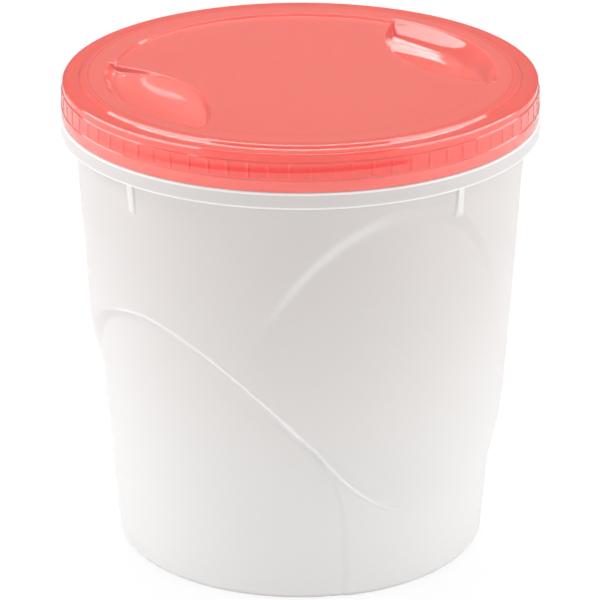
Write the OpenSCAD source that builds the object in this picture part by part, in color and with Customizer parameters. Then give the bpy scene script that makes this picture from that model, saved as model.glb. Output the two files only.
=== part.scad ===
// Tapered round food keeper with a screw lid.
// Millimetres, +Z up, origin at the centre of the foot, front towards -Y.
// Angles on the wall are counted from the front, positive towards +X.

/* [Container] */
// Outer diameter of the wall where it meets the collar
wall_top_d = 151; // [140:0.5:170]
// Outer diameter of the upper wall carried down to the floor
wall_foot_d = 132.8; // [124:0.2:140]
// Thickness of the moulded wall
wall_t = 1.4; // [1:0.1:2]
// Height of the collar's top above the table
collar_z = 151.5; // [140:0.5:170]
// Rounding between the wall and the floor
foot_round = 5; // [3:0.5:6]
// Height of the wall's underside above the foot ring
foot_lift = 0.3; // [0.2:0.1:0.6]
// Thickness of the floor
floor_t = 1.7; // [1.5:0.1:2.2]
// Radial width of the flat foot ring
foot_ring_w = 5; // [3:0.5:8]
// Depth of the hollow inside the foot ring
foot_hollow = 0.8; // [0.4:0.1:1]
// Chamfer round the foot ring
foot_chamfer = 0.4; // [0.2:0.1:0.6]

/* [Neck and collar] */
// Height of the neck above the collar
neck_h = 9.8; // [8:0.2:14]
// Thickness of the neck
neck_t = 2; // [1.6:0.1:2.6]
// How far the neck stands inside the wall's outer face
neck_set_in = 0.3; // [0.2:0.1:0.6]
// Height of the collar's outer face
collar_h = 5.6; // [4:0.2:9]
// Thickness of the collar's flange and skirt
collar_t = 1.5; // [1.2:0.1:2]
// Width of a rib under the collar
rib_w = 3.2; // [2:0.2:5]
// Length of a rib below the collar's lower edge
rib_drop = 12.2; // [6:0.2:18]
// How far a rib stands out from the wall at its top
rib_out = 2; // [1:0.1:2.6]
// Angle of the first rib
rib_a = 45; // [30:1:60]
// Number of ribs round the wall
rib_count = 4; // [2:1:8]

/* [Relief of the wall] */
// Step from the upper wall to the lower panel, carried down to the floor
step_foot = 4; // [2:0.1:5]
// Step from the upper wall to the lower panel at the ridge's peak
step_peak = 2.2; // [1:0.1:3.5]
// Height of the ridge's peak
ridge_peak_z = 98; // [80:1:105]
// Height of the ridge's trough
ridge_trough_z = 26.5; // [20:0.5:40]
// Height of the soft slope above the ridge's trough
slope_h = 22; // [10:0.5:28]
// Height of the sharp bevel along the rest of the ridge
bevel_h = 2.6; // [1.5:0.1:5]
// Step between the two lower panels at the tail line
tail_step = 1; // [0.4:0.1:1.4]
// Angle of the tail line at the foot
tail_foot_a = 14; // [8:0.5:20]
// Lean of the tail line between the foot and the ridge, in degrees
tail_lean = 8; // [0:0.5:12]
// Depth of the petal below its swept edge
petal_depth = 1.1; // [0.4:0.1:1.5]
// Gap between the petal's tip and the collar
petal_gap = 5; // [3:0.5:20]
// Height of the petal's swept bevel
petal_bevel_h = 5.6; // [3:0.2:8]
// Angle of the petal's tip
petal_a = 27; // [20:1:34]
// Angle from the petal's tip to its left end
petal_left = 41; // [34:1:46]
// Angle from the petal's tip to its right end
petal_right = 39; // [34:1:46]
// Fall of the petal's edge from its tip to its left end
petal_drop = 48; // [36:1:52]

/* [Lid] */
// Gap between the lid's edge and the collar
lid_gap = 0.4; // [0.3:0.1:1]
// Room between the neck and the skirt, where the screw thread sits
thread_room = 2.2; // [1.8:0.1:3]
// Thickness of the lid's skirt
skirt_t = 2; // [1.5:0.1:2.6]
// How far the lip stands out from the grip band
lip_out = 0.6; // [0.5:0.1:1.2]
// Height of the lip
lip_h = 3.4; // [2:0.2:4]
// Height of the grip band
band_h = 6; // [4:0.2:6.6]
// How far the shoulder stands inside the grip band
shoulder_in = 0.3; // [0.2:0.1:0.6]
// Thickness of the lid's top
lid_t = 1.5; // [1.2:0.1:2]
// Height of the raised flange above the shoulder
flange_h = 0.8; // [0.4:0.1:1.2]
// Width of the raised flange
flange_w = 9.3; // [7:0.1:12]
// Depth of the panel inside the flange
panel_drop = 0.9; // [0.5:0.1:1.2]
// Rounding of the lid's edges
lid_round = 0.8; // [0.4:0.1:1]
// Gap between the plug rib and the neck
plug_gap = 0.8; // [0.4:0.1:1.2]
// Thickness of the plug rib
plug_t = 1.4; // [1:0.1:2]
// Depth of the plug rib below the lid's underside
plug_h = 4; // [2:0.2:6]
// Number of grip ribs round the band
grip_count = 75; // [36:1:90]
// Width of a grip rib
grip_w = 0.7; // [0.5:0.1:1.2]
// How far a grip rib stands out from the band
grip_out = 0.3; // [0.2:0.05:0.4]
// Gap between a grip rib's ends and the band's edges
grip_end = 0.25; // [0.2:0.05:0.6]

/* [Finger scoops] */
// Width of a scoop, from its outer wall to its inner arc
scoop_w = 27.8; // [22:0.2:32]
// Radius of a scoop's inner arc
scoop_arc_r = 50.6; // [44:0.1:56]
// How far a scoop's outer wall reaches into the flange
scoop_reach = 2.7; // [1.6:0.1:4]
// Depth of a scoop at its outer wall, below the panel
scoop_depth = 7.2; // [5:0.1:8.5]
// Depth of a scoop at the middle of its inner arc, below the panel
scoop_lip = 0.6; // [0.5:0.1:1.5]
// Tilt of a scoop's floor, which is deeper on the side that is pushed to open
scoop_tilt = 3; // [0:0.5:3]
// Draft of a scoop's outer wall
scoop_draft = 25; // [10:1:35]
// Angle of the first scoop
scoop_a = -64; // [-90:0.5:90]

/* [Seal] */
// Thickness of the sealing ring
seal_t = 1.4; // [1:0.1:2]
// Width of the sealing ring
seal_w = 2.8; // [2.4:0.1:3.2]
// Gap between the sealing ring and the plug rib
seal_gap = 0.4; // [0.3:0.1:0.6]

/* [Hidden] */
$fn = 96;

// Pieces sunk into each other by this much where they are one moulding
sink = 0.8;
// How far a rib is let into the wall at its lower end
rib_sink = 0.25;

// Neck and collar
wall_top_r = wall_top_d / 2;
wall_foot_r = wall_foot_d / 2;
flange_under_z = collar_z - collar_t;
collar_low_z = collar_z - collar_h;
neck_r = wall_top_r - neck_set_in;
neck_in_r = neck_r - neck_t;
rim_z = collar_z + neck_h;

// Lid
skirt_in_r = neck_r + thread_room;
band_r = skirt_in_r + skirt_t;
lid_r = band_r + lip_out;
shoulder_r = band_r - shoulder_in;
lid_low_z = collar_z + lid_gap;
band_low_z = lid_low_z + lip_h;
band_top_z = band_low_z + band_h;
lid_under_z = rim_z + seal_t;
shoulder_z = lid_under_z + lid_t;
flange_z = shoulder_z + flange_h;
panel_z = flange_z - panel_drop;
plug_r = neck_in_r - plug_gap;
panel_r = plug_r - flange_w;

// Scoops: a lying cylinder makes the floor, from the lip at the inner arc to the depth at the outer wall
scoop_wall_r = panel_r + scoop_reach;
scoop_centre = scoop_wall_r - scoop_w + scoop_arc_r;
scoop_wall_s = scoop_centre - scoop_wall_r;
scoop_rise = ((scoop_arc_r ^ 2 - scoop_wall_s ^ 2) / (scoop_depth - scoop_lip) - scoop_depth - scoop_lip) / 2;
scoop_floor_r = sqrt(scoop_arc_r ^ 2 + (scoop_rise + scoop_lip) ^ 2);
// The scoops' skin ends half way between the panel's face and the flange's underside
scoop_skin_top = panel_z - (lid_t - panel_drop) / 2;

// Relief: the pattern repeats twice round the wall
period = 180;
// Columns of the wall's surface in one repeat
columns = 47;
// Half the angle over which the tail step is made
tail_half = 0.4;
// Ridge: angle, and share of the way from trough to peak
ridge_shape = [[-90, 0.33], [-80, 0.68], [-66, 0.9], [-46, 1], [-28, 0.91], [-12, 0.71], [2, 0.47],
               [14, 0.23], [26, 0.08], [42, 0.01], [60, 0], [76, 0.04], [85, 0.12]];
// Slope above the ridge: angle, and share of the way from the bevel to the full slope
slope_shape = [[-90, 0.75], [-80, 0.3], [-66, 0.05], [-46, 0], [-10, 0], [0, 0.02], [8, 0.38],
               [20, 0.93], [34, 1], [60, 1], [82, 1]];
petal_top_z = collar_low_z - petal_gap;
// Fall of the petal's edge: a parabola on the left and a sharper curve on the right
petal_left_power = 2;
petal_right_power = 2.6;
// The petal reaches its full depth where this times the way from its end is 1
petal_swell = 1.6;
// Rows of the wall's surface, as leans of the foot's rounding and as shares of each stretch
foot_leans = [0, 30, 60];
lower_shares = [0, 0.4, 0.7, 1];
slope_shares = [0.5, 1];
petal_shares = [0.35, 0.7, 1];

// Smooth closed curve through the points of a shape
function wrapped(s) = concat([s[len(s) - 1] - [period, 0]], s, [s[0] + [period, 0], s[1] + [period, 0]]);
function span(s, a, i = 1) = a < s[i + 1][0] ? i : span(s, a, i + 1);
function slope_at(s, i) = (s[i + 1][1] - s[i - 1][1]) / (s[i + 1][0] - s[i - 1][0]);
function folded(a) = a - period * floor((a + period / 2) / period);
function curve(shape, a) =
    let (s = wrapped(shape), b = folded(a), i = span(s, b))
    let (w = s[i + 1][0] - s[i][0], t = (b - s[i][0]) / w)
    (1 + 2 * t) * (1 - t) ^ 2 * s[i][1] + t * (1 - t) ^ 2 * w * slope_at(s, i)
    + t ^ 2 * (3 - 2 * t) * s[i + 1][1] - t ^ 2 * (1 - t) * w * slope_at(s, i + 1);
function mix(a, b, t) = a + (b - a) * t;
function ease(t) = t <= 0 ? 0 : t >= 1 ? 1 : t * t * (3 - 2 * t);

// Cones of the upper wall and of the lower panels
function upper_r(z) = mix(wall_foot_r, wall_top_r, z / flange_under_z);
function lower_r(z) = upper_r(z) - mix(step_foot, step_peak, z / ridge_peak_z);

// Ridge line, and the upper edge of the bevel or slope above it
function ridge_z(a) = mix(ridge_trough_z, ridge_peak_z, curve(ridge_shape, a));
function slope_z(a) = ridge_z(a) + mix(bevel_h, slope_h, curve(slope_shape, a));

// Petal: its swept edge, and the share of its depth along that edge
function petal_side(a) = a < petal_a ? (petal_a - a) / petal_left : (a - petal_a) / petal_right;
function petal_power(a) = a < petal_a ? petal_left_power : petal_right_power;
function petal_edge_z(a) =
    max(petal_top_z - petal_drop * petal_side(a) ^ petal_power(a), slope_z(a) + 2 * petal_bevel_h);
function petal_share(a) = ease(petal_swell * (1 - petal_side(a)));

// One column of the wall's outer face as radius, angle, height and lean of the face
function lower_row(c, f) =
    let (a = c + tail_foot_a - tail_lean * f ^ 3)
    let (low = foot_lift + foot_round, z = mix(low, ridge_z(a), f))
    [lower_r(z) + tail_out(c), a, z, 90];
function tail_out(c) = tail_step * (0.5 - (c - period * floor(c / period)) / period);
function foot_row(c, lean) =
    let (low = foot_lift + foot_round)
    [lower_r(low) + tail_out(c) - foot_round * (1 - sin(lean)), c + tail_foot_a, low - foot_round * cos(lean), lean];
function upper_row(a, z, depth) = [upper_r(z) - depth, a, z, 90];
function slope_row(c, a, f) =
    let (low = lower_row(c, 1), high = slope_z(a), z = mix(low[2], high, f))
    [mix(low[0], upper_r(high), f), a, z, 90];
function outer_column(c) =
    let (a = c + tail_foot_a - tail_lean, b = folded(a))
    let (edge = petal_edge_z(b), inner = edge - petal_bevel_h, high = slope_z(a))
    let (depth = petal_depth * petal_share(b))
    [[foot_ring_r - sink, c + tail_foot_a, foot_lift, 0],
     for (lean = foot_leans) foot_row(c, lean),
     for (f = lower_shares) lower_row(c, f),
     for (f = slope_shares) slope_row(c, a, f),
     for (f = petal_shares) upper_row(a, mix(high, inner, f), f * depth),
     upper_row(a, edge, 0),
     upper_row(a, (edge + flange_under_z) / 2, 0),
     upper_row(a, flange_under_z + sink, 0)];

// Foot ring, inside the least radius of the wall's rounded foot
foot_ring_r = lower_r(foot_lift + foot_round) - foot_round - tail_step / 2;

function placed(p) = [p[0] * sin(p[1]), -p[0] * cos(p[1]), p[2]];
function inset(p) = [p[0] - wall_t * sin(p[3]), p[1], p[2] + wall_t * cos(p[3]), p[3]];
function closed_column(c) =
    let (outer = outer_column(c), n = len(outer))
    concat([for (p = outer) placed(p)], [for (i = [n - 1:-1:0]) placed(inset(outer[i]))]);
column_angles = [for (k = [0, 1], i = [0:columns - 1])
    k * period + mix(tail_half, period - tail_half, i / (columns - 1))];

// Moulded wall with its ridge, tail lines and petals, inside and out
module relief_wall() {
    rings = [for (c = column_angles) closed_column(c)];
    n = len(rings);
    m = len(rings[0]);
    points = [for (ring = rings, p = ring) p];
    faces = [for (i = [0:n - 1], j = [0:m - 1])
        let (a = i * m + j, b = i * m + (j + 1) % m)
        let (d = (i + 1) % n * m + j, e = (i + 1) % n * m + (j + 1) % m)
        each [[a, b, e], [a, e, d]]];
    polyhedron(points, faces, convexity = 8);
}

// Quarter round on an outline, from one angle to another
function round_points(centre, r, from, to) =
    [for (i = [0:4]) centre + r * [cos(mix(from, to, i / 4)), sin(mix(from, to, i / 4))]];

module neck_and_collar() {
    half = collar_t / 2;
    root = upper_r(flange_under_z) - wall_t / 2;
    rotate_extrude()
        polygon(concat(
            [[root, flange_under_z - sink], [neck_in_r, collar_z], [neck_in_r, rim_z], [neck_r, rim_z],
             [neck_r, collar_z]],
            round_points([lid_r - half, collar_z - half], half, 90, 0),
            round_points([lid_r - half, collar_low_z + half], half, 0, -180),
            [[lid_r - collar_t, flange_under_z], [root, flange_under_z]]));
}

module collar_ribs() {
    low = collar_low_z - rib_drop;
    root = upper_r(low) - rib_sink;
    for (i = [0:rib_count - 1])
        rotate(rib_a - 90 + i * 360 / rib_count)
            rotate([90, 0, 0])
                linear_extrude(rib_w, center = true)
                    polygon([[root, low], [upper_r(low) + rib_out / 2, low],
                             [upper_r(flange_under_z) + rib_out, flange_under_z + collar_t / 2],
                             [root, flange_under_z + collar_t / 2]]);
}

module floor_plate() {
    edge = foot_ring_r;
    hollow = edge - foot_ring_w;
    top = foot_lift + floor_t;
    rotate_extrude()
        polygon([[0, foot_hollow], [hollow - foot_hollow, foot_hollow], [hollow, 0], [edge - foot_chamfer, 0],
                 [edge + foot_lift, foot_lift + foot_chamfer], [edge + foot_lift, top], [0, top]]);
}

module container() {
    color([0.9, 0.9, 0.88]) {
        relief_wall();
        neck_and_collar();
        collar_ribs();
        floor_plate();
    }
}

module lid_seal() {
    color([0.86, 0.87, 0.86])
        translate([0, 0, rim_z])
            rotate_extrude()
                translate([plug_r + seal_gap, 0])
                    square([seal_w, seal_t]);
}

// Outline of the lid without scoops, from the top's centre round to the underside's centre
module lid_section() {
    under = flange_z - lid_t;
    polygon(concat(
        [[0, panel_z], [panel_r - panel_drop, panel_z], [panel_r, flange_z]],
        round_points([plug_r - lid_round, flange_z - lid_round], lid_round, 90, 0),
        [[plug_r + lid_round, shoulder_z]],
        round_points([shoulder_r - lid_round, shoulder_z - lid_round], lid_round, 90, 0),
        [[shoulder_r, band_top_z], [band_r, band_top_z - shoulder_in], [band_r, band_low_z + lip_out]],
        round_points([lid_r - lip_out, band_low_z - lip_out], lip_out, 90, 0),
        [[lid_r, lid_low_z], [skirt_in_r, lid_low_z], [skirt_in_r, lid_under_z], [plug_r, lid_under_z],
         [plug_r, lid_under_z - plug_h], [plug_r - plug_t, lid_under_z - plug_h], [plug_r - plug_t, under],
         [panel_r + lid_t, under], [panel_r, panel_z - lid_t], [0, panel_z - lid_t]]));
}

module grip_ribs() {
    low = band_low_z + lip_out + grip_end;
    high = band_top_z - shoulder_in - grip_end;
    for (i = [0:grip_count - 1])
        rotate((i + 0.5) * 360 / grip_count)
            translate([-grip_w / 2, -band_r - grip_out, low])
                cube([grip_w, 2 * grip_out, high - low]);
}

// Space of both scoops up to a height, or their skin when it is grown by the lid's thickness
module scoops(grow, high) {
    low = panel_z - 2 * scoop_depth;
    rim = scoop_wall_r + grow / cos(scoop_draft);
    for (turn = [0, 180])
        rotate(scoop_a - 90 + turn)
            intersection() {
                translate([scoop_centre, 0, panel_z + scoop_rise])
                    rotate([90 - scoop_tilt, 0, 0])
                        cylinder(r = scoop_floor_r + grow, h = 4 * scoop_arc_r, center = true);
                translate([scoop_centre, 0, low])
                    cylinder(r = scoop_arc_r + grow, h = high - low);
                translate([0, 0, low])
                    cylinder(r1 = rim - (flange_z - low) * tan(scoop_draft),
                             r2 = rim - (flange_z - high) * tan(scoop_draft), h = high - low);
            }
}

module screw_lid() {
    color([0.96, 0.49, 0.46])
        difference() {
            union() {
                rotate_extrude()
                    lid_section();
                grip_ribs();
                scoops(lid_t, scoop_skin_top);
            }
            scoops(0, flange_z + flange_h);
        }
}

container();
lid_seal();
screw_lid();
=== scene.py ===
"""Looks of a tapered round food keeper with a screw lid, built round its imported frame."""

import math

import bpy
import numpy as np
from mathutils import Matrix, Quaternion, Vector


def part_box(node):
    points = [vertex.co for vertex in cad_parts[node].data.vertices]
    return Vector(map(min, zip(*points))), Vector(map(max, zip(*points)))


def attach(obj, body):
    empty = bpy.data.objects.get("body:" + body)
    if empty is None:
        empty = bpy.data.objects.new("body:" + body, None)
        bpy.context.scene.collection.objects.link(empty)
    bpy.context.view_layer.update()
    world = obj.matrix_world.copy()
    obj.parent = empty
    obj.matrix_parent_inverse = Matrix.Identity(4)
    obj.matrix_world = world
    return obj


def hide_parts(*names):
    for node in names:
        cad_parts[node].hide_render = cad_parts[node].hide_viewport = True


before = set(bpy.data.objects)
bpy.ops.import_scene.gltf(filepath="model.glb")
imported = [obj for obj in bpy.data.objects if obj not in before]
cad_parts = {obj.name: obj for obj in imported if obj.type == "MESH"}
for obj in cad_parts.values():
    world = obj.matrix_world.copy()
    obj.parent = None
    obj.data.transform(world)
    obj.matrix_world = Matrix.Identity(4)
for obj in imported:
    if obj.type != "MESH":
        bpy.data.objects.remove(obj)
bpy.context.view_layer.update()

# Units: sizes below are millimetres and degrees, counted from the front, positive towards +X
MM = 0.001

# Sizes read from the frame
tub_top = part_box("container")[1]
lid_low, lid_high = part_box("screw_lid")
seal_low, seal_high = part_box("lid_seal")
rim_z = tub_top.z / MM
lid_r = lid_high.x / MM
lid_low_z = lid_low.z / MM
flange_z = lid_high.z / MM
seal_r = seal_high.x / MM
seal_low_z = seal_low.z / MM
lid_under_z = seal_high.z / MM

# Neck and collar
lid_gap = 0.4
neck_t = 2.0
thread_room = 2.2
skirt_t = 2.0
lip_out = 0.6
neck_set_in = 0.3
neck_root_round = 0.4
neck_in_round = 1.0
rim_round = 0.45
collar_h = 5.6
collar_t = 1.5
collar_root_round = 0.5
collar_in_round = 0.65
collar_out_round = 0.5
collar_top_round = 0.6
collar_z = lid_low_z - lid_gap
flange_under_z = collar_z - collar_t
collar_low_z = collar_z - collar_h
collar_in_r = lid_r - collar_t
band_r = lid_r - lip_out
skirt_in_r = band_r - skirt_t
neck_r = skirt_in_r - thread_room
neck_in_r = neck_r - neck_t
# Heights of the painted highlights along the collar's edges, and of the fade beside them
collar_highlight_low_h = 0.6
collar_highlight_top_h = 0.7
collar_highlight_fade_h = 0.3

# Wall and foot
wall_top_r = neck_r + neck_set_in
wall_foot_r = 66.4
wall_t = 1.4
foot_round = 2.5
foot_lift = 0.3
foot_ring_w = 5.0
foot_hollow = 0.8
floor_t = 1.7
floor_soft = 0.5
# Mark of the moulding gate under the floor
gate_h = 0.35
gate_top_r = 1.6
gate_foot_r = 1.9
gate_round = 0.2

# Ribs under the collar
rib_angles = (-136.7, -46.7, 43.3, 133.3)
rib_w = 3.0
rib_out = 0.9
rib_low_z = collar_low_z - 11.8
rib_edge = 0.5
rib_end = 0.4

# Relief of the wall, which repeats twice round it
period = 180
step_foot = 4.0
step_peak = 2.2
ridge_peak_z = 98.0
ridge_trough_z = 26.5
slope_h = 22.0
bevel_h = 2.6
# Ridge: angle, and share of the way from trough to peak
ridge_shape = ((-90, 0.24), (-86, 0.41), (-80, 0.62), (-66, 0.89), (-46, 1), (-28, 0.91), (-12, 0.71),
               (2, 0.47), (14, 0.23), (26, 0.08), (42, 0.01), (60, 0), (76, 0.02), (85, 0.06))
# Slope above the ridge: angle, and share of the way from the bevel to the full slope
slope_shape = ((-90, 0.75), (-80, 0.3), (-66, 0.05), (-46, 0), (-10, 0), (0, 0.02), (8, 0.38),
               (20, 0.93), (34, 1), (60, 1), (82, 1))
# The front ridge reaches further round on its left: middle, half width and size of the shift
reach_a, reach_half, reach_shift = -103.0, 18.0, 11.0
# Rounding of the ridge's foot and of its crest, where it is a bevel and where it is a slope
ridge_foot_soft = 0.9
ridge_crest_soft = 0.4
slope_crest_soft = 5.0
# Fine bead along the ridge, which fades out at both ends
bead_out = 0.5
bead_half = 0.68
bead_from, bead_rise = -66.0, 16.0
bead_to, bead_fall = 34.0, 18.0
# Step between the lower panels
tail_step = 0.7
tail_foot_a = 14.0
tail_lean = 8.0
tail_half = 1.4
# Petal above the ridge: a shallow hollow below a swept edge
petal_depth = 1.9
petal_top_z = collar_low_z - 5.0
petal_bevel_h = 5.6
petal_soft = 0.7
petal_a = 27.0
petal_left = 42.0
petal_right = 39.0
petal_drop = 48.0
petal_left_power = 2.0
petal_right_power = 2.6
petal_left_swell = 2.4
petal_right_swell = 1.3
# Painted highlight along the petal's swept edge: its strength, its half width, and its fade towards the
# petal's middle
swoosh_highlight = 0.4
swoosh_half = 2.0
swoosh_fade = 12.0

# Lid
lip_h = 3.4
lip_set_in = 0.3
lip_drop = 0.28
band_h = 6.0
shoulder_in = 0.3
shoulder_bevel_w = 0.5
shoulder_bevel_h = 0.6
edge_h = 0.36
lid_t = 1.5
flange_h = 0.95
flange_w = 9.3
flange_bevel_w = 0.8
flange_bevel_round = 0.7
flange_past_plug = 1.0
panel_drop = 0.9
panel_step_w = 0.45
panel_corner = 0.02
plug_gap = 0.8
plug_t = 1.4
plug_h = 4.0
plug_root_round = 0.4
plug_tip_round = 0.5
skirt_root_round = 0.7
lip_r = lid_r - lip_set_in
lip_low_z = lid_low_z - lip_drop
band_low_z = lid_low_z + lip_h
band_top_z = band_low_z + band_h
shoulder_r = band_r - shoulder_in
shoulder_z = flange_z - flange_h
panel_z = flange_z - panel_drop
plug_r = neck_in_r - plug_gap
plug_in_r = plug_r - plug_t
flange_r = plug_r + flange_past_plug
panel_r = plug_r - flange_w
# Line of the plug rib, which shows through the flange, painted as a darker ring: painted shade
plug_line_r = 70.7
plug_line_half = 0.6

# Grip ribs round the lid's band
grip_count = 75
grip_w = 0.55
grip_out = 0.22
grip_edge = 0.12
grip_end = 0.24
grip_low_z = band_low_z + 0.6
grip_high_z = band_top_z - 0.45

# Finger scoops
scoop_angles = (-64, 116)
scoop_w = 27.8
scoop_arc_r = 50.6
scoop_depth = 7.2
scoop_lip = 0.6
scoop_tilt = 3.0
scoop_draft = 30.0
arc_draft = 10.0
scoop_wall_r = panel_r + 2.7
scoop_centre = scoop_wall_r - scoop_w + scoop_arc_r
arc_cove = 1.0
wall_cove = 4.0
brim_soft = 0.25

# Screw threads: lead, height, half widths at crest and root, and length of the run-out
thread_lead = 8.0
thread_h = 1.2
thread_crest = 0.3
thread_root = 0.75
thread_run_out = 6.0
# Each thread's height at the front, its first angle and its last
neck_thread = (160.4, -300, 2)
lid_thread = (158.75, -265, 27)
# Shade of the lid's thread on its band: reach below and above it, and its fades
shade_low = 0.9
shade_edge = 0.5
shade_high = 2.2
shade_from = -62.0
shade_rise = 50.0
shade_fall = 3.0

# Seal
seal_w = 2.8
seal_ease = 0.02
seal_round = 0.35

# Mesh: rows along threads, spacing of columns and rows, and radii of the lid's rows up to the scoops
thread_rows = 44
column_step = 0.75
seal_column_step = 1.5
fine_row = 0.3
coarse_row = 0.5
under_row = 0.8
top_centre_r = (34.5, 32, 28, 22, 15, 8, 3)
under_centre_r = (3, 8, 14, 20, 26, 31, 34)
top_scoop_r = 36
under_scoop_r = 35.5


# Curves and blends


def mix(a, b, t):
    return a + (b - a) * t


def ease(t):
    t = np.clip(t, 0, 1)
    return t * t * (3 - 2 * t)


def soft(x, k):
    """Zero below x = 0 and x above it, with a rounded corner of size k."""
    return (x + np.sqrt(x * x + k * k)) / 2


def ramp(x, h, k_low, k_high):
    """Rises from 0 to 1 while x goes from 0 to h, with rounded ends."""
    return (soft(x, k_low) - soft(x - h, k_high)) / h


def smooth_max(a, b, k):
    return (a + b + np.sqrt((a - b) ** 2 + k * k)) / 2


def smooth_min(a, b, k):
    return -smooth_max(-a, -b, k)


def folded(a):
    """Angle within one period of the relief."""
    return (a + period / 2) % period - period / 2


def folded_turn(a):
    """Angle within one turn."""
    return (a + 180) % 360 - 180


def curve(shape, a):
    """Smooth closed curve through the points of a shape, with the front ridge's longer reach."""
    pts = np.array(shape, float)
    pts = np.vstack([pts[-1:] - [period, 0], pts, pts[:2] + [period, 0]])
    x, y = pts.T
    slope = np.gradient(y)
    slope[1:-1] = (y[2:] - y[:-2]) / (x[2:] - x[:-2])
    b = folded(a + reach_shift * np.exp(-(folded_turn(a - reach_a) / reach_half) ** 2))
    i = np.clip(np.searchsorted(x, b, side="right") - 1, 1, len(x) - 3)
    w = x[i + 1] - x[i]
    t = (b - x[i]) / w
    return ((1 + 2 * t) * (1 - t) ** 2 * y[i] + t * (1 - t) ** 2 * w * slope[i]
            + t ** 2 * (3 - 2 * t) * y[i + 1] - t ** 2 * (1 - t) * w * slope[i + 1])


def rounded(outline, steps=4):
    """Points of an outline of (radius, height, rounding) whose inner corners are rounded."""
    out = [outline[0][:2]]
    for before, here, after in zip(outline, outline[1:], outline[2:]):
        p = np.array(here[:2], float)
        to_a = np.array(before[:2], float) - p
        to_b = np.array(after[:2], float) - p
        to_a /= np.linalg.norm(to_a)
        to_b /= np.linalg.norm(to_b)
        half = math.acos(np.clip(to_a @ to_b, -1, 1)) / 2
        if here[2] == 0 or half > math.pi / 2 - 0.01:
            out.append(tuple(p))
            continue
        start = p + to_a * here[2] / math.tan(half)
        end = p + to_b * here[2] / math.tan(half)
        middle = p + (to_a + to_b) / np.linalg.norm(to_a + to_b) * here[2] / math.sin(half)
        for i in range(steps + 1):
            way = mix(start, end, i / steps) - middle
            out.append(tuple(middle + way / np.linalg.norm(way) * here[2]))
    out.append(outline[-1][:2])
    return out


def stretch(start, end, count):
    """Even steps from a start, which is left out, to an end."""
    return [mix(start, end, (i + 1) / count) for i in range(count)]


# Surfaces of revolution with detail


class Shell:
    """Rows of points round the axis, which close on the axis or on the first row."""

    def __init__(self, angles):
        self.angles = np.asarray(angles, float)
        self.rows = []

    def row(self, r, z, angles=None, painted_shading=0):
        """Adds a row. Its painted shading runs from -1, a painted highlight, to 1, painted shade."""
        shape = self.angles.shape
        angles = self.angles if angles is None else angles
        self.rows.append([np.broadcast_to(v, shape) for v in (r, angles, z, painted_shading)])

    def outline(self, points, painted_shading=0):
        for r, z in points:
            self.row(r, z, painted_shading=painted_shading)

    def build(self, name, first_z=None, last_z=None):
        """Makes the piece. The two heights are those of its first and last point, both on the axis."""
        r, a, z, painted_shading = np.moveaxis(np.array(self.rows, float), 1, 0)
        a = np.radians(a)
        points = np.stack([r * np.sin(a), -r * np.cos(a), z], -1)
        m, n = r.shape
        index = np.arange(m * n).reshape(m, n)
        if first_z is None:
            index = np.vstack([index, index[:1]])
        here, turn = index, np.roll(index, -1, axis=1)
        quads = np.stack([here[:-1], turn[:-1], turn[1:], here[1:]], -1).reshape(-1, 4)
        faces = quads.tolist()
        points = points.reshape(-1, 3).tolist()
        if first_z is not None:
            points += [(0, 0, first_z), (0, 0, last_z)]
            start, end = m * n, m * n + 1
            faces += [(start, b, a) for a, b in zip(here[0], turn[0])]
            faces += [(end, a, b) for a, b in zip(here[-1], turn[-1])]
        mesh = bpy.data.meshes.new(name)
        mesh.from_pydata(np.multiply(points, MM).tolist(), [], faces)
        mesh.shade_smooth()
        # Painted shading of each point: paler for painted highlights, darker for painted shade
        values = np.zeros(len(points))
        values[:painted_shading.size] = painted_shading.ravel()
        values[painted_shading.size:] = painted_shading[-1].mean()
        mesh.attributes.new("painted_shading", "FLOAT", "POINT").data.foreach_set("value", values)
        mesh.validate()
        piece = bpy.data.objects.new(name, mesh)
        bpy.context.scene.collection.objects.link(piece)
        return piece


def thread_bump(thread, a, z):
    """How far a screw thread stands out at an angle and a height."""
    front_z, first, last = thread
    out = np.zeros(np.broadcast(a, z).shape)
    for turn in (-360, 0, 360):
        b = folded_turn(a) + turn
        away = np.abs(z - front_z - thread_lead * b / 360)
        side = ease((thread_root - away) / (thread_root - thread_crest))
        ends = ease((b - first) / thread_run_out) * ease((last - b) / thread_run_out)
        out = np.maximum(out, thread_h * side * ends)
    return out


def thread_shade(thread, a, z):
    """How much a thread behind the skirt darkens it: sharp below, soft above."""
    front_z, _, last = thread
    b = folded_turn(a)
    above = z - front_z - thread_lead * b / 360
    side = ease((above + shade_low) / shade_edge) * (1 - ease(above / shade_high))
    return side * ease((b - shade_from) / shade_rise) * ease((last - b) / shade_fall)


# Tub


def upper_r(z):
    return mix(wall_foot_r, wall_top_r, z / flange_under_z)


def lower_r(z):
    return upper_r(z) - mix(step_foot, step_peak, z / ridge_peak_z)


def ridge_line_z(a):
    """Height of the ridge's crisp line: the crest of its bevel, and the foot of its slope."""
    return mix(ridge_trough_z, ridge_peak_z, curve(ridge_shape, a))


def slope_share(a):
    return np.clip(curve(slope_shape, a), 0, 1)


def ridge_foot_z(a):
    return ridge_line_z(a) - bevel_h * (1 - slope_share(a))


def slope_top_z(a):
    return ridge_foot_z(a) + mix(bevel_h, slope_h, slope_share(a))


def bead(a, z):
    b = folded(a)
    fade = ease((b - bead_from) / bead_rise) * ease((bead_to - b) / bead_fall)
    return bead_out * fade * np.exp(-((z - ridge_line_z(a)) / bead_half) ** 2)


def petal_side(a):
    """How far an angle is from the petal's middle, as a share of its reach on that side."""
    return np.where(a < petal_a, (petal_a - a) / petal_left, (a - petal_a) / petal_right)


def petal_edge_z(a):
    """Height of the petal's swept edge, kept clear of the slope under it."""
    b = folded(a)
    power = np.where(b < petal_a, petal_left_power, petal_right_power)
    edge = petal_top_z - petal_drop * petal_side(b) ** power
    return np.maximum(edge, slope_top_z(a) + 2 * petal_bevel_h)


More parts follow.
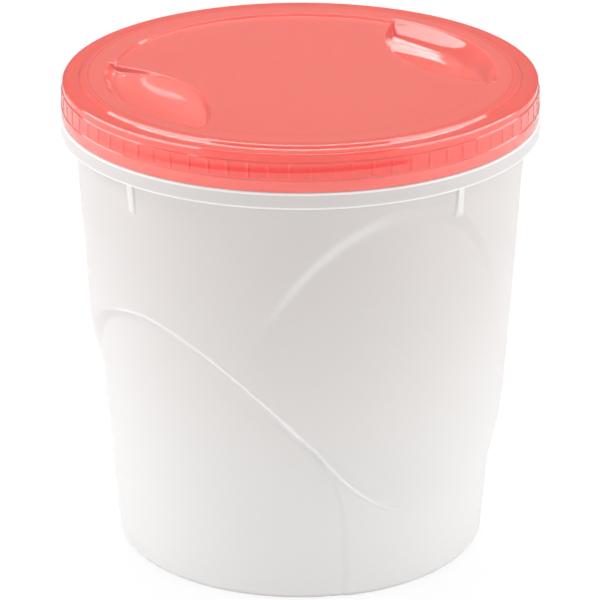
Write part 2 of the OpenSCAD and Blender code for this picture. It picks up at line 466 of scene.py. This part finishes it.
def petal_fade(a):
    """Share of the petal's depth, which fades out at its tips."""
    b = folded(a)
    swell = np.where(b < petal_a, petal_left_swell, petal_right_swell)
    return ease(swell * (1 - petal_side(b)))


def petal_recess(a, z):
    """Depth of the petal below its swept edge, which fades towards the slope under it."""
    edge, slope_top = petal_edge_z(a), slope_top_z(a)
    fade = np.clip((z - slope_top) / (edge - petal_bevel_h - slope_top), 0, 1)
    bevel = np.clip(ramp(edge - z, petal_bevel_h, petal_soft, petal_soft), 0, 1)
    return petal_depth * petal_fade(a) * fade * bevel


def painted_highlights(a, z):
    """Painted highlights along the ridge's bead and the petal's swept edge."""
    swoosh = np.exp(-((petal_edge_z(a) - petal_bevel_h / 2 - z) / swoosh_half) ** 2)
    swoosh = swoosh * petal_fade(a) * ease((petal_a - folded(a)) / swoosh_fade)
    return np.maximum(bead(a, z) / bead_out, swoosh_highlight * swoosh)


def tail_out(c):
    """Step between the two lower panels, with c counted from the tail line."""
    w = folded(c)
    saw = np.where(w < 0, -0.5 - w / period, 0.5 - w / period)
    return tail_step * mix(saw, ease((w + tail_half) / (2 * tail_half)) - 0.5, np.abs(w) < tail_half)


def wall_r(a, c, z):
    """Outer radius of the moulded wall without its ribs."""
    share = slope_share(a)
    height = mix(bevel_h, slope_h, share)
    crest = mix(ridge_crest_soft, slope_crest_soft, share)
    low = lower_r(z) + tail_out(c)
    high = upper_r(z) - petal_recess(a, z)
    step = np.clip(ramp(z - ridge_foot_z(a), height, ridge_foot_soft, crest), 0, 1)
    return mix(low, high, step) + bead(a, z)


def rib_bump(a, z):
    """How far the four ribs stand out under the collar."""
    out = mix(rib_out / 2, rib_out, np.clip((z - rib_low_z) / (flange_under_z - rib_low_z), 0, 1))
    out = out * ease((z - rib_low_z + rib_end) / (2 * rib_end))
    best = np.zeros(np.broadcast(a, z).shape)
    for rib in rib_angles:
        away = np.abs(np.radians(folded_turn(a - rib))) * wall_top_r
        best = np.maximum(best, out * ease((rib_w / 2 + rib_edge - away) / (2 * rib_edge)))
    return best


def tub_columns():
    """Angles of the wall's columns from the tail line, closer together at tails and ribs."""
    even = np.arange(0, 360, column_step)
    near_tail = np.append(tail_half * np.arange(1, 8) / 7, tail_half + 0.3)
    tails = [t + s * near_tail for t in (0, period) for s in (-1, 1)]
    near_rib = math.degrees(rib_w / 2 / wall_top_r) + 0.12 * np.arange(-3, 4)
    shift = tail_lean - tail_foot_a
    ribs = [rib + shift + s * near_rib for rib in rib_angles for s in (-1, 1)]
    return np.unique(np.round(np.concatenate([even, *tails, *ribs]) % 360, 3))


def wall_levels(a, low):
    """Heights of the wall's rows, which follow the ridge, the petal's edge and the ribs."""
    line, slope_top, edge = ridge_line_z(a), slope_top_z(a), petal_edge_z(a)
    rib_from = np.maximum(edge + 2.2, rib_low_z - 1)
    levels = [np.full(a.shape, low)]
    # Each height that the rows pass through, and the number of rows that lead to it
    for target, count in ((line - bevel_h - 1.5, 20), (line - 1.1, 12), (line + 1.1, 13),
                          (line + 2.6, 7), (slope_top + 3.2, 12), (edge - petal_bevel_h - 2, 18),
                          (edge + 2, 16), (rib_from, 12), (rib_from + 2, 8),
                          (np.full(a.shape, flange_under_z), 16)):
        levels += stretch(levels[-1], target, count)
    return np.array(levels)


def make_tub():
    c = tub_columns()
    a = c + tail_foot_a - tail_lean
    foot_a = c + tail_foot_a
    low = foot_lift + foot_round
    z = wall_levels(a, low)
    share = np.clip((z - low) / (ridge_line_z(a) - low), 0, 1)
    angles = foot_a - tail_lean * share ** 3
    bare = wall_r(angles, c, z)
    ribs = rib_bump(angles, z)
    # Painted highlights: the ribs, and the lines along the ridge and the petal's edge, are painted paler
    painted_pale = np.maximum(ribs / rib_out, painted_highlights(angles, z))
    ring_r = lower_r(low) - foot_round - tail_step / 2
    hollow_r = ring_r - foot_ring_w
    leans = np.radians(np.linspace(0, 90, 11)[:-1])
    floor_z = foot_lift + floor_t
    gate_z = foot_hollow + gate_h

    tub = Shell(a)
    # Underside with the mark of the moulding gate, and the foot ring
    under = rounded([(gate_top_r / 2, gate_z, 0), (gate_top_r, gate_z, gate_round),
                     (gate_foot_r, foot_hollow, gate_round), (hollow_r - foot_hollow, foot_hollow, 0.5),
                     (hollow_r, 0, 0.4), (ring_r - 0.2, 0, 0.3), (ring_r + 0.2, foot_lift, 0.2),
                     (ring_r + 0.45, foot_lift, 0)])
    for r, height in under:
        tub.row(r, height, foot_a)
    for lean in leans:
        tub.row(bare[0] - foot_round * (1 - np.sin(lean)), low - foot_round * np.cos(lean), foot_a)
    for r, out, angle, height, light in zip(bare, ribs, angles, z, painted_pale):
        tub.row(r + out, height, angle, -light)
    # Collar with painted highlights along its edges, neck with its thread, and rim
    tub.outline(rounded([(wall_top_r + rib_out + 0.3, flange_under_z, 0),
                         (collar_in_r, flange_under_z, collar_root_round),
                         (collar_in_r, collar_low_z, collar_in_round),
                         (lid_r, collar_low_z, collar_out_round),
                         (lid_r, collar_low_z + collar_highlight_low_h, 0)], 5), painted_shading=-1)
    tub.outline([(lid_r, collar_low_z + collar_highlight_low_h + collar_highlight_fade_h),
                 (lid_r, collar_z - collar_highlight_top_h - collar_highlight_fade_h)])
    tub.outline(rounded([(lid_r, collar_z - collar_highlight_top_h, 0), (lid_r, collar_z, collar_top_round),
                         (neck_r, collar_z, neck_root_round), (neck_r, collar_z + 0.6, 0)], 5), painted_shading=-1)
    for height in np.linspace(collar_z + 0.8, rim_z - 0.6, thread_rows):
        tub.row(neck_r + thread_bump(neck_thread, a, height), height)
    tub.outline(rounded([(neck_r, rim_z - 0.5, 0), (neck_r, rim_z, rim_round),
                         (neck_in_r, rim_z, rim_round), (neck_in_r, collar_z, neck_in_round),
                         (wall_top_r - wall_t, flange_under_z - 1, 0)])[:-1])
    # Inside of the wall, and the floor
    for r, angle, height in zip(bare[-3::-1], angles[-3::-1], z[-3::-1]):
        tub.row(r - wall_t, height, angle)
    for lean in leans[::-1]:
        r = bare[0] - foot_round * (1 - np.sin(lean)) - wall_t * np.sin(lean)
        height = low - (foot_round - wall_t) * np.cos(lean)
        tub.row(r, floor_z + soft(height - floor_z, floor_soft), foot_a)
    for r in (50, 40, 25, 10, 3):
        tub.row(r, floor_z, foot_a)
    return tub.build("container_shell", gate_z, floor_z)


# Lid


def scoop_height(r, turn, grow):
    """Height of the scoops' faces, or of their skin when it is grown by the lid's thickness."""
    wall_s = scoop_centre - scoop_wall_r
    centre_z = ((scoop_arc_r ** 2 - wall_s ** 2) / (scoop_depth - scoop_lip) - scoop_depth - scoop_lip) / 2
    floor_r = math.sqrt(scoop_arc_r ** 2 + (centre_z + scoop_lip) ** 2) + grow
    tilt = math.tan(math.radians(scoop_tilt))
    rim = scoop_wall_r + grow / math.cos(math.radians(scoop_draft))
    wall = panel_drop - (rim - r) / math.tan(math.radians(scoop_draft))
    best = np.full(turn.shape, flange_z + scoop_depth)
    for angle in scoop_angles:
        away = turn - math.radians(angle)
        u, v = r * np.cos(away), r * np.sin(away)
        s = scoop_centre - u
        floor = centre_z - np.sqrt(np.maximum(floor_r ** 2 - s ** 2, 1)) - v * tilt
        inside = scoop_arc_r + grow - np.hypot(s, v)
        arc = -inside / math.tan(math.radians(arc_draft))
        face = smooth_max(smooth_max(floor, wall, wall_cove), arc, arc_cove)
        best = np.minimum(best, panel_z + np.where(u > 0, face, scoop_depth))
    return best


def panel_height(r, low, step_r):
    """Height of the lid's top or underside without scoops: a panel inside a raised flange."""
    return low + panel_drop * ramp(r - step_r, panel_step_w, panel_corner, panel_corner)


def lid_columns():
    """Angles of the lid's columns, closer together at grip ribs and at the scoops' tips."""
    pitch = 360 / grip_count
    half = math.degrees(grip_w / 2 / band_r)
    edge = math.degrees(grip_edge / band_r)
    near = [half - edge, half, half + edge, 0.17 * pitch, 0.3 * pitch, 0.42 * pitch]
    offsets = np.array([0] + near + [-n for n in near])
    grips = [(i + 0.5) * pitch + offsets for i in range(grip_count)]
    tips = [scoop + side * np.arange(24, 37, 0.3) for scoop in scoop_angles for side in (-1, 1)]
    return np.unique(np.round(np.concatenate(grips + tips) % 360, 2))


def make_lid():
    a = lid_columns()
    turn = np.radians(a)
    flange_under = flange_z - lid_t
    lid = Shell(a)
    for r in np.append(under_centre_r, np.arange(under_scoop_r, plug_in_r - 1, under_row)):
        flat = panel_height(r, panel_z - lid_t, panel_r)
        lid.row(r, smooth_min(flat, scoop_height(r, turn, lid_t), brim_soft))
    # Plug rib, skirt with its thread, and lip
    lid.outline(rounded([(plug_in_r - 0.8, flange_under, 0), (plug_in_r, flange_under, plug_root_round),
                         (plug_in_r, lid_under_z - plug_h, plug_tip_round),
                         (plug_r, lid_under_z - plug_h, plug_tip_round),
                         (plug_r, lid_under_z, plug_root_round),
                         (skirt_in_r, lid_under_z, skirt_root_round),
                         (skirt_in_r, lid_under_z - 1.2, 0)]))
    for height in np.linspace(lid_under_z - 1.4, lid_low_z + 0.6, thread_rows):
        lid.row(skirt_in_r - thread_bump(lid_thread, a, height), height)
    # The lip and its edge are painted paler: painted light
    lid.outline(rounded([(skirt_in_r, lid_low_z + 0.5, 0), (skirt_in_r, lip_low_z, 0.3),
                         (lip_r, lip_low_z, 0.15), (lip_r, band_low_z, 0.12),
                         (band_r, band_low_z + edge_h, 0.08), (band_r, band_low_z + 0.55, 0)]), painted_shading=-1)
    # Grip band, with painted shade where the thread behind it shows through
    away = np.abs((a / 360 * grip_count) % 1 - 0.5) * 2 * math.pi * band_r / grip_count
    grip = grip_out * ease((grip_w / 2 + grip_edge - away) / (2 * grip_edge))
    ends = np.array((0, 0.12, grip_end))
    for height in (*(grip_low_z + ends), *np.linspace(grip_low_z + 0.4, grip_high_z - 0.4, 25),
                   *(grip_high_z - ends[::-1])):
        end = min(height - grip_low_z, grip_high_z - height)
        lid.row(band_r + grip * ease(end / grip_end), height, painted_shading=thread_shade(lid_thread, a, height))
    # Shoulder, and flange painted a little paler: painted light
    edge_z = band_top_z - 0.2
    lid.outline(rounded([(band_r, edge_z - 0.15, 0), (band_r, edge_z, 0.1),
                         (shoulder_r, edge_z + edge_h, 0.1),
                         (shoulder_r, shoulder_z - shoulder_bevel_h, 0.2),
                         (shoulder_r - shoulder_bevel_w, shoulder_z, 0.25),
                         (shoulder_r - 1.2, shoulder_z, 0)], 6))
    lid.outline(rounded([(shoulder_r - 1.5, shoulder_z, 0),
                         (flange_r + flange_bevel_w / 2, shoulder_z, 0.05),
                         (flange_r - flange_bevel_w / 2, flange_z, flange_bevel_round),
                         (flange_r - 1.6, flange_z, 0)], 6), painted_shading=-0.4)
    # Painted shade of the plug rib behind the flange: a darker ring between paler rows
    for side, painted_shading in ((1, -1), (0, 0), (-1, -1)):
        lid.row(plug_line_r + side * plug_line_half, flange_z, painted_shading=painted_shading)
    # Top with its scoops, painted paler: painted light
    corner = panel_corner * np.array((3, 1, -1, -3))
    top_r = np.concatenate([(plug_line_r - 1.5, plug_line_r - 2.5),
                            np.arange(scoop_wall_r + 1.6, panel_r + fine_row, -fine_row),
                            panel_r + corner, panel_r - panel_step_w + corner,
                            np.arange(panel_r - 3 * fine_row, panel_r - 3.05, -fine_row),
                            np.arange(panel_r - 3.1, top_scoop_r, -coarse_row), top_centre_r])
    for r in top_r:
        flat = panel_height(r, panel_z, panel_r - panel_step_w)
        lid.row(r, smooth_min(flat, scoop_height(r, turn, 0), brim_soft), painted_shading=-1)
    return lid.build("screw_lid_shell", panel_z - lid_t, panel_z)


def make_seal():
    seal = Shell(np.arange(0, 360, seal_column_step))
    inner, low, high = seal_r - seal_w, seal_low_z + seal_ease, lid_under_z - seal_ease
    middle = (low + high) / 2
    points = rounded([(inner, middle, 0), (inner, low, seal_round), (seal_r, low, seal_round),
                      (seal_r, high, seal_round), (inner, high, seal_round), (inner, middle, 0)])
    seal.outline(points[:-1])
    return seal.build("lid_seal_ring")


# Materials, in metres

# Noise: the part of its range that is used, and its scales for flow, gloss and waviness
noise_low, noise_high = 0.3, 0.7
flow_scale, gloss_scale, wave_scale = 14, 40, 30
wave_strength, wave_depth = 0.2, 0.0003
coat_ior = 1.8
# Height by which the painted shade of the tub's upper part, darker and tinted by the lid, has taken over
painted_top_shade_z = 0.14


def new_material(name):
    material = bpy.data.materials.new(name)
    material.use_nodes = True
    return material, material.node_tree.nodes, material.node_tree.links


def noise(nodes, links, scale):
    """Smooth noise over the object's own coordinates."""
    place = nodes.new("ShaderNodeTexCoord")
    node = nodes.new("ShaderNodeTexNoise")
    node.inputs["Scale"].default_value = scale
    node.inputs["Detail"].default_value = 0
    links.new(place.outputs["Object"], node.inputs["Vector"])
    return node.outputs["Fac"]


def spread(nodes, links, value, low, high):
    """Maps the middle of a noise to a range of numbers."""
    node = nodes.new("ShaderNodeMapRange")
    node.inputs["From Min"].default_value = noise_low
    node.inputs["From Max"].default_value = noise_high
    node.inputs["To Min"].default_value = low
    node.inputs["To Max"].default_value = high
    links.new(value, node.inputs["Value"])
    return node.outputs["Result"]


def two_tone(nodes, links, value, first, second):
    """Blends a first tone, or the colour of another node, with a second tone."""
    node = nodes.new("ShaderNodeMix")
    node.data_type = "RGBA"
    if isinstance(first, tuple):
        node.inputs["A"].default_value = (*first, 1)
    else:
        links.new(first, node.inputs["A"])
    node.inputs["B"].default_value = (*second, 1)
    links.new(value, node.inputs["Factor"])
    return node.outputs["Result"]


def bump(nodes, links, height, strength, distance):
    node = nodes.new("ShaderNodeBump")
    node.inputs["Strength"].default_value = strength
    node.inputs["Distance"].default_value = distance
    links.new(height, node.inputs["Height"])
    return node.outputs["Normal"]


def rise(nodes, links, low, high):
    """Rises from 0 to 1 between two heights of the object, smoothly."""
    place = nodes.new("ShaderNodeTexCoord")
    parts = nodes.new("ShaderNodeSeparateXYZ")
    node = nodes.new("ShaderNodeMapRange")
    node.interpolation_type = "SMOOTHSTEP"
    node.inputs["From Min"].default_value = low
    node.inputs["From Max"].default_value = high
    links.new(place.outputs["Object"], parts.inputs[0])
    links.new(parts.outputs["Z"], node.inputs["Value"])
    return node.outputs["Result"]


def moulded_plastic(name, tones, gloss, transmission, scatter_reach, ior=1.49, specular=0.5, coat=0.0,
                    coat_rough=0.03, painted_top_shade=None):
    """Translucent plastic with a mould finish. Its tones: two of the flow, a darker one for painted shade
    and a paler one for painted highlights.
    """
    material, nodes, links = new_material(name)
    shader = nodes["Principled BSDF"]
    for socket, value in (("IOR", ior), ("Transmission Weight", transmission),
                          ("Specular IOR Level", specular), ("Coat Weight", coat),
                          ("Coat Roughness", coat_rough), ("Coat IOR", coat_ior),
                          ("Subsurface Weight", 1), ("Subsurface Radius", scatter_reach),
                          ("Subsurface Scale", 1)):
        shader.inputs[socket].default_value = value
    flow, flow_other, painted_dark, painted_pale = tones
    colour = two_tone(nodes, links, noise(nodes, links, flow_scale), flow, flow_other)
    # Painted shade towards the top: darker, with a tint of light from the lid
    if painted_top_shade is not None:
        colour = two_tone(nodes, links, rise(nodes, links, 0, painted_top_shade_z), colour, painted_top_shade)
    # Painted shading: the attribute blends in the darker tone as painted shade and the paler tone as
    # painted highlight
    painted_shading = nodes.new("ShaderNodeAttribute")
    painted_shading.attribute_name = "painted_shading"
    highlight_share = nodes.new("ShaderNodeMath")
    highlight_share.operation = "MULTIPLY"
    highlight_share.inputs[1].default_value = -1
    links.new(painted_shading.outputs["Fac"], highlight_share.inputs[0])
    colour = two_tone(nodes, links, painted_shading.outputs["Fac"], colour, painted_dark)
    colour = two_tone(nodes, links, highlight_share.outputs[0], colour, painted_pale)
    links.new(colour, shader.inputs["Base Color"])
    links.new(spread(nodes, links, noise(nodes, links, gloss_scale), *gloss), shader.inputs["Roughness"])
    waves = noise(nodes, links, wave_scale)
    links.new(bump(nodes, links, waves, wave_strength, wave_depth), shader.inputs["Normal"])
    return material


# Tones of each plastic: two of the flow, then a darker one for painted shade and a paler one for painted
# highlights
tub_tones = ((0.77, 0.76, 0.75), (0.79, 0.78, 0.77), (0.7, 0.69, 0.68), (0.81, 0.8, 0.79))
lid_tones = ((0.96, 0.115, 0.09), (0.97, 0.125, 0.1), (0.93, 0.03, 0.02), (0.99, 0.185, 0.155))
seal_tones = ((0.8, 0.8, 0.78), (0.84, 0.84, 0.82), (0.78, 0.78, 0.76), (0.86, 0.86, 0.84))
# Painted shade of the tub's upper part, darker and tinted pink by light from the lid
tub_painted_top_shade = (0.648, 0.614, 0.604)
tub_plastic = moulded_plastic("natural_polypropylene", tub_tones, gloss=(0.29, 0.36), transmission=0.03,
                              scatter_reach=(0.0005, 0.0005, 0.0005), specular=0.0, coat=0.1,
                              coat_rough=0.3, painted_top_shade=tub_painted_top_shade)
lid_plastic = moulded_plastic("coral_polypropylene", lid_tones, gloss=(0.05, 0.08), transmission=0.04,
                              scatter_reach=(0.0006, 0.0003, 0.0003), specular=0.1, coat=1.0)
seal_rubber = moulded_plastic("natural_silicone", seal_tones, gloss=(0.35, 0.45), transmission=0.5,
                              scatter_reach=(0.003, 0.003, 0.003), ior=1.41)

# Pieces on their bodies

for make, node, body, slot, material in (
        (make_tub, "container", "container", "natural_polypropylene", tub_plastic),
        (make_lid, "screw_lid", "lid", "coral_polypropylene", lid_plastic),
        (make_seal, "lid_seal", "seal", "natural_silicone", seal_rubber)):
    piece = make()
    piece.data.materials.append(material)
    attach(piece, body)
    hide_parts(node)

# Stage: pale floor, soft light and camera, in metres

scene = bpy.context.scene
scene.view_settings.view_transform = "Standard"
floor_half = 6
floor_tone = 0.6
# White that the camera sees on the floor: its strength, and its share over the shaded floor
floor_white = 1.1
floor_white_share = 0.8


def make_floor():
    corners = [(x * floor_half, y * floor_half, 0) for x, y in ((-1, -1), (1, -1), (1, 1), (-1, 1))]
    mesh = bpy.data.meshes.new("floor")
    mesh.from_pydata(corners, [], [(0, 1, 2, 3)])
    floor = bpy.data.objects.new("floor", mesh)
    scene.collection.objects.link(floor)
    material, nodes, links = new_material("floor_white")
    shader = nodes["Principled BSDF"]
    shader.inputs["Base Color"].default_value = (floor_tone, floor_tone, floor_tone, 1)
    shader.inputs["Roughness"].default_value = 0.8
    shader.inputs["Specular IOR Level"].default_value = 0.0
    white = nodes.new("ShaderNodeEmission")
    white.inputs["Strength"].default_value = floor_white
    blend = nodes.new("ShaderNodeMixShader")
    path = nodes.new("ShaderNodeLightPath")
    share = nodes.new("ShaderNodeMath")
    share.operation = "MULTIPLY"
    share.inputs[1].default_value = floor_white_share
    links.new(path.outputs["Is Camera Ray"], share.inputs[0])
    links.new(share.outputs[0], blend.inputs[0])
    links.new(shader.outputs[0], blend.inputs[1])
    links.new(white.outputs[0], blend.inputs[2])
    links.new(blend.outputs[0], nodes["Material Output"].inputs["Surface"])
    mesh.materials.append(material)


def make_world(front, back, ceiling, ceiling_from, ceiling_edge):
    """Light tent: darker behind, with an even ceiling, and plain white where it is seen."""
    world = bpy.data.worlds.new("studio")
    world.use_nodes = True
    scene.world = world
    nodes, links = world.node_tree.nodes, world.node_tree.links
    light = nodes["Background"]
    light.inputs["Color"].default_value = (1, 1, 1, 1)
    place = nodes.new("ShaderNodeTexCoord")
    parts = nodes.new("ShaderNodeSeparateXYZ")
    level = nodes.new("ShaderNodeMapRange")
    level.inputs["From Min"].default_value = -1
    level.inputs["To Min"].default_value = front
    level.inputs["To Max"].default_value = back
    links.new(place.outputs["Generated"], parts.inputs[0])
    links.new(parts.outputs["Y"], level.inputs["Value"])
    high = nodes.new("ShaderNodeMapRange")
    high.inputs["From Min"].default_value = ceiling_from - ceiling_edge
    high.inputs["From Max"].default_value = ceiling_from + ceiling_edge
    links.new(parts.outputs["Z"], high.inputs["Value"])
    strength = nodes.new("ShaderNodeMix")
    strength.inputs["B"].default_value = ceiling
    links.new(high.outputs["Result"], strength.inputs["Factor"])
    links.new(level.outputs["Result"], strength.inputs["A"])
    links.new(strength.outputs["Result"], light.inputs["Strength"])
    white = nodes.new("ShaderNodeBackground")
    white.inputs["Color"].default_value = (1, 1, 1, 1)
    blend = nodes.new("ShaderNodeMixShader")
    path = nodes.new("ShaderNodeLightPath")
    links.new(path.outputs["Is Camera Ray"], blend.inputs[0])
    links.new(light.outputs[0], blend.inputs[1])
    links.new(white.outputs[0], blend.inputs[2])
    links.new(blend.outputs[0], nodes["World Output"].inputs["Surface"])


def softbox(name, place, aim, size, power, roll=0):
    lamp = bpy.data.lights.new(name, "AREA")
    lamp.shape = "RECTANGLE"
    lamp.size, lamp.size_y = size
    lamp.energy = power
    box = bpy.data.objects.new(name, lamp)
    box.location = place
    facing = (Vector(aim) - Vector(place)).to_track_quat("-Z", "Y")
    box.rotation_euler = (facing @ Quaternion((0, 0, 1), math.radians(roll))).to_euler()
    scene.collection.objects.link(box)


make_floor()
make_world(front=0.33, back=0.14, ceiling=0.36, ceiling_from=0.545, ceiling_edge=0.015)
middle = (0, 0, 0.09)
left_scoop = (-0.05, -0.025, 0.161)
softbox("left_softbox", (-0.69, 0.088, 0.654), middle, (1.0, 0.17), 1.75, 39.5)
softbox("right_softbox", (0.69, 0.088, 0.654), middle, (1.0, 0.13), 1.3, -39.5)
softbox("left_panel", (-0.84, -0.34, 0.2), middle, (0.8, 0.3), 4.2)
softbox("right_panel", (0.84, -0.34, 0.2), middle, (0.8, 0.3), 4.1)
softbox("top_softbox", (0, 0.42, 1.05), middle, (0.85, 0.75), 10.3)
softbox("front_softbox", (0, -1.3, 0.3), middle, (1.2, 0.5), 4.6)
softbox("back_strip", (-0.269, 0.781, 0.711), left_scoop, (0.05, 0.004), 0.001, 40)

camera_down = 22.108
camera = bpy.data.objects.new("camera", bpy.data.cameras.new("camera"))
camera.data.lens = 225.4
camera.data.sensor_width = 36
camera.location = (-0.00012, -1.1859, 0.5647)
camera.rotation_euler = (math.radians(90 - camera_down), 0, 0)
scene.collection.objects.link(camera)
scene.camera = camera
